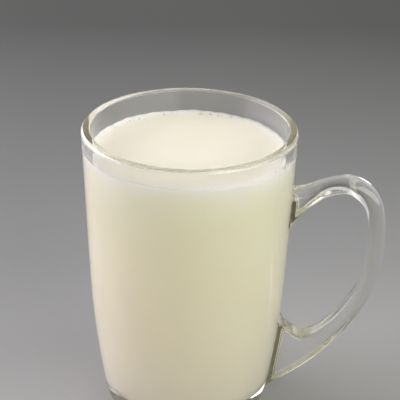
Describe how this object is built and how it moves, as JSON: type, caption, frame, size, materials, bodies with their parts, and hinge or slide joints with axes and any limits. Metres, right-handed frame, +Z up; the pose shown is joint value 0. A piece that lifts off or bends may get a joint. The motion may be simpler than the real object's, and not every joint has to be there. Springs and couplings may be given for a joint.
{
  "type": "glass mug of milk",
  "caption": "Clear pressed-glass mug with a loop handle, its body tucked in to a thick base, filled with milk to just under the rounded rim.",
  "frame": {"origin": "middle of the whole footprint, mug and handle together, on the plane the mug stands on", "axes": "+Z up along the mug; +X from the mug's body towards its handle; +Y across the handle's strap"},
  "size_m": [0.112, 0.0786, 0.1085],
  "materials": {
    "clear_glass": "clear, fire-polished, with a faint grey-green tint at the edges",
    "milk": "opaque cream-white liquid with a soft wet sheen"
  },
  "bodies": {
    "root": {"glass_mug": "clear_glass", "milk": "milk"}
  },
  "joints": []
}
